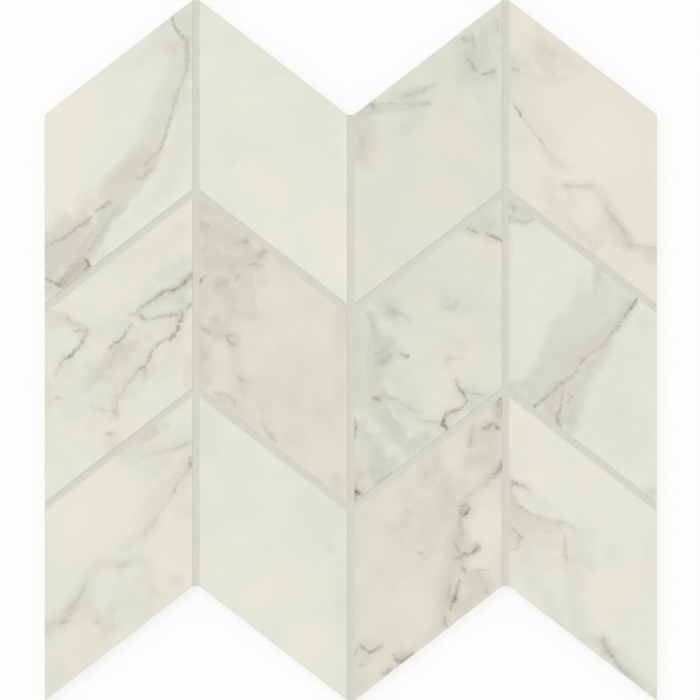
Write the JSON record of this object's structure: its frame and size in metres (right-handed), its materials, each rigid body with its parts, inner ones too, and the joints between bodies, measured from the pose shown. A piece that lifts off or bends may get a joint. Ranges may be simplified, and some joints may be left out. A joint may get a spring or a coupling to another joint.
{
  "type": "chevron mosaic wall tile",
  "caption": "Mosaic sheet of marble-look porcelain rhomboids set in a chevron pattern, with filled joints, on a glass-fibre backing mesh.",
  "frame": {"origin": "the middle of the sheet's outline, on the plane of its back, which lies on the floor", "axes": "+X runs across the columns, +Y runs up the wall along the columns, +Z points out of the wall through the glazed face"},
  "size_m": [0.3014, 0.3448, 0.0094],
  "materials": {
    "marble_glaze": "satin",
    "grout": "matte",
    "glass_mesh": "satin"
  },
  "bodies": {
    "root": {"chip_r1_c1": "marble_glaze", "chip_r1_c2": "marble_glaze", "chip_r1_c3": "marble_glaze", "chip_r1_c4": "marble_glaze", "chip_r2_c1": "marble_glaze", "chip_r2_c2": "marble_glaze", "chip_r2_c3": "marble_glaze", "chip_r2_c4": "marble_glaze", "chip_r3_c1": "marble_glaze", "chip_r3_c2": "marble_glaze", "chip_r3_c3": "marble_glaze", "chip_r3_c4": "marble_glaze", "joint_grout": "grout", "backing_mesh_c1": "glass_mesh", "backing_mesh_c2": "glass_mesh", "backing_mesh_c3": "glass_mesh", "backing_mesh_c4": "glass_mesh"}
  },
  "joints": []
}
